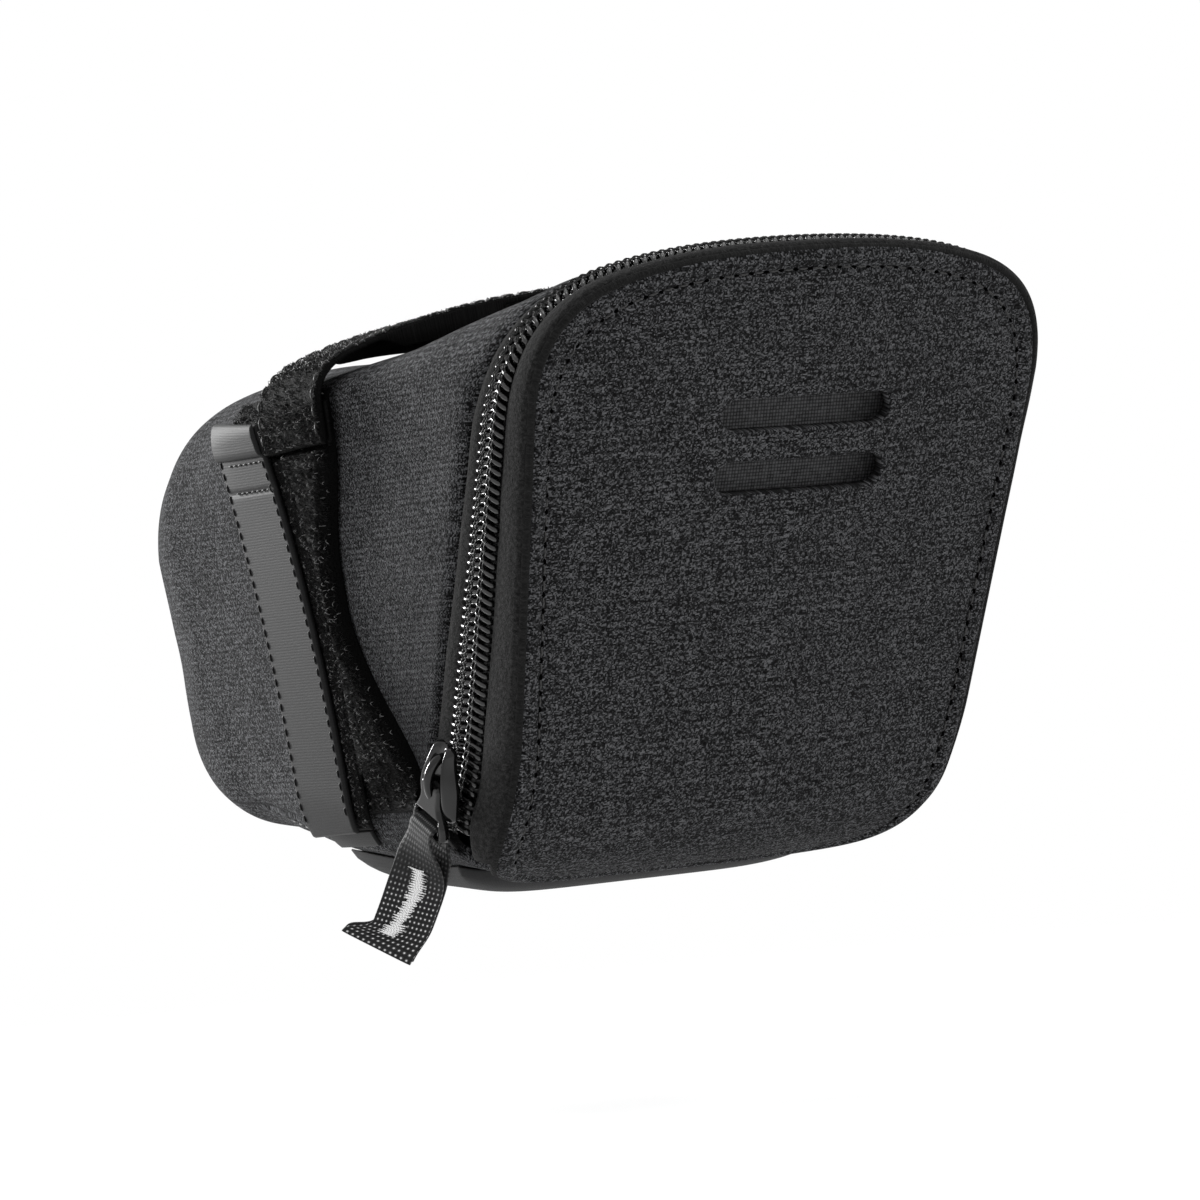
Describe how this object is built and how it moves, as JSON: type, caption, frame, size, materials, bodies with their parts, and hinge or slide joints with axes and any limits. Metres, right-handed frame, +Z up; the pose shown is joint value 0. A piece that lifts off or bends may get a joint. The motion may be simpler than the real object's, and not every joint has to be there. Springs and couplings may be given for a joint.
{
  "type": "saddle bag",
  "caption": "Charcoal fabric saddle bag for a bicycle: zipped rear panel, loop-pile rail strap, grey side straps, nose strap and a ribbon zip pull.",
  "frame": {"origin": "the saddle-rail mount: the middle of the rail strap's tunnel, 1.4 mm above the top panel", "axes": "+Z up with the saddle's rails level, +Y forward to the seatpost, -Y to the zipped rear panel, +X the bag's right"},
  "size_m": [0.1206, 0.194, 0.1156],
  "materials": {
    "body_fabric": "charcoal heather woven cloth, matt with a fine grid",
    "nose_fabric": "the same cloth, a little lighter, with a clearer grid",
    "fleece_cloth": "black textured tape cloth, matt",
    "zip_coil": "black nylon coil with a slight shine",
    "binding": "dark folded binding",
    "loop_pile": "black looped pile, very rough",
    "hook_tape": "black hook tape",
    "grey_tape": "grey reflective woven tape, satin",
    "pad_cloth": "smooth dark coated cloth",
    "clip_webbing": "fine dark woven webbing",
    "black_metal": "glossy black lacquered metal",
    "ribbon_weave": "black grosgrain ribbon with pale dots",
    "white_thread": "white stitching thread"
  },
  "bodies": {
    "shell": {"shell_side_left": "body_fabric", "shell_side_right": "body_fabric", "shell_top": "body_fabric", "shell_base": "body_fabric", "shell_nose": "nose_fabric", "shell_zip_band": "fleece_cloth", "zip_coil_front": "zip_coil", "zip_tape_front": "fleece_cloth", "base_hinge_binding": "binding", "loop_patch_left": "loop_pile", "loop_patch_right": "loop_pile", "base_pad": "pad_cloth", "side_strap_anchor_left": "grey_tape", "side_strap_anchor_right": "grey_tape", "rail_strap_root": "loop_pile", "post_strap_tab": "loop_pile"},
    "lid": {"lid_panel": "body_fabric", "lid_clip_webbing": "clip_webbing", "lid_lining": "fleece_cloth", "lid_piping": "binding", "lid_gusset": "fleece_cloth", "zip_coil_rear": "zip_coil", "zip_tape_rear": "fleece_cloth"},
    "slider": {"slider": "black_metal"},
    "puller": {"puller_ring": "black_metal"},
    "ribbon": {"ribbon": "ribbon_weave", "ribbon_bartack": "white_thread"},
    "side_strap_left": {"side_strap_tape_left": "grey_tape", "side_strap_hook_left": "hook_tape", "side_strap_hem_left": "grey_tape"},
    "side_strap_right": {"side_strap_tape_right": "grey_tape", "side_strap_hook_right": "hook_tape", "side_strap_hem_right": "grey_tape"},
    "rail_strap": {"rail_strap": "loop_pile", "rail_strap_hook": "hook_tape"},
    "post_strap": {"post_strap": "loop_pile", "post_strap_hook": "hook_tape"}
  },
  "joints": [
    {"name": "lid_hinge", "type": "hinge", "parent": "shell", "child": "lid", "pos_m": [0, -0.0282, -0.0911], "axis": [1, 0, 0], "range_deg": [0, 75]},
    {"name": "zip_slide", "type": "slide", "parent": "shell", "child": "slider", "axis": [-0.0826, -0.4492, 0.8896], "range_m": [0, 0.042]},
    {"name": "puller_hinge", "type": "hinge", "parent": "slider", "child": "puller", "pos_m": [-0.05295, -0.0325, -0.07588], "axis": [0.0087, 0.8923, 0.4514], "range_deg": [0, 120]},
    {"name": "ribbon_hinge", "type": "hinge", "parent": "puller", "child": "ribbon", "pos_m": [-0.05229, -0.02891, -0.083], "axis": [0.0087, 0.8923, 0.4514], "range_deg": [0, 45]},
    {"name": "side_strap_left_hinge", "type": "hinge", "parent": "shell", "child": "side_strap_left", "pos_m": [-0.04513, 0.0122, -0.08285], "axis": [0, -1, 0], "range_deg": [0, 85]},
    {"name": "side_strap_right_hinge", "type": "hinge", "parent": "shell", "child": "side_strap_right", "pos_m": [0.04513, 0.0122, -0.08285], "axis": [0, 1, 0], "range_deg": [0, 85]},
    {"name": "rail_strap_hinge", "type": "hinge", "parent": "shell", "child": "rail_strap", "pos_m": [0.05489, 0, -0.00866], "axis": [0, 1, 0], "range_deg": [0, 110]},
    {"name": "post_strap_hinge", "type": "hinge", "parent": "shell", "child": "post_strap", "pos_m": [0.0387, 0.0799, -0.0642], "axis": [0, 0, -1], "range_deg": [0, 110]}
  ]
}
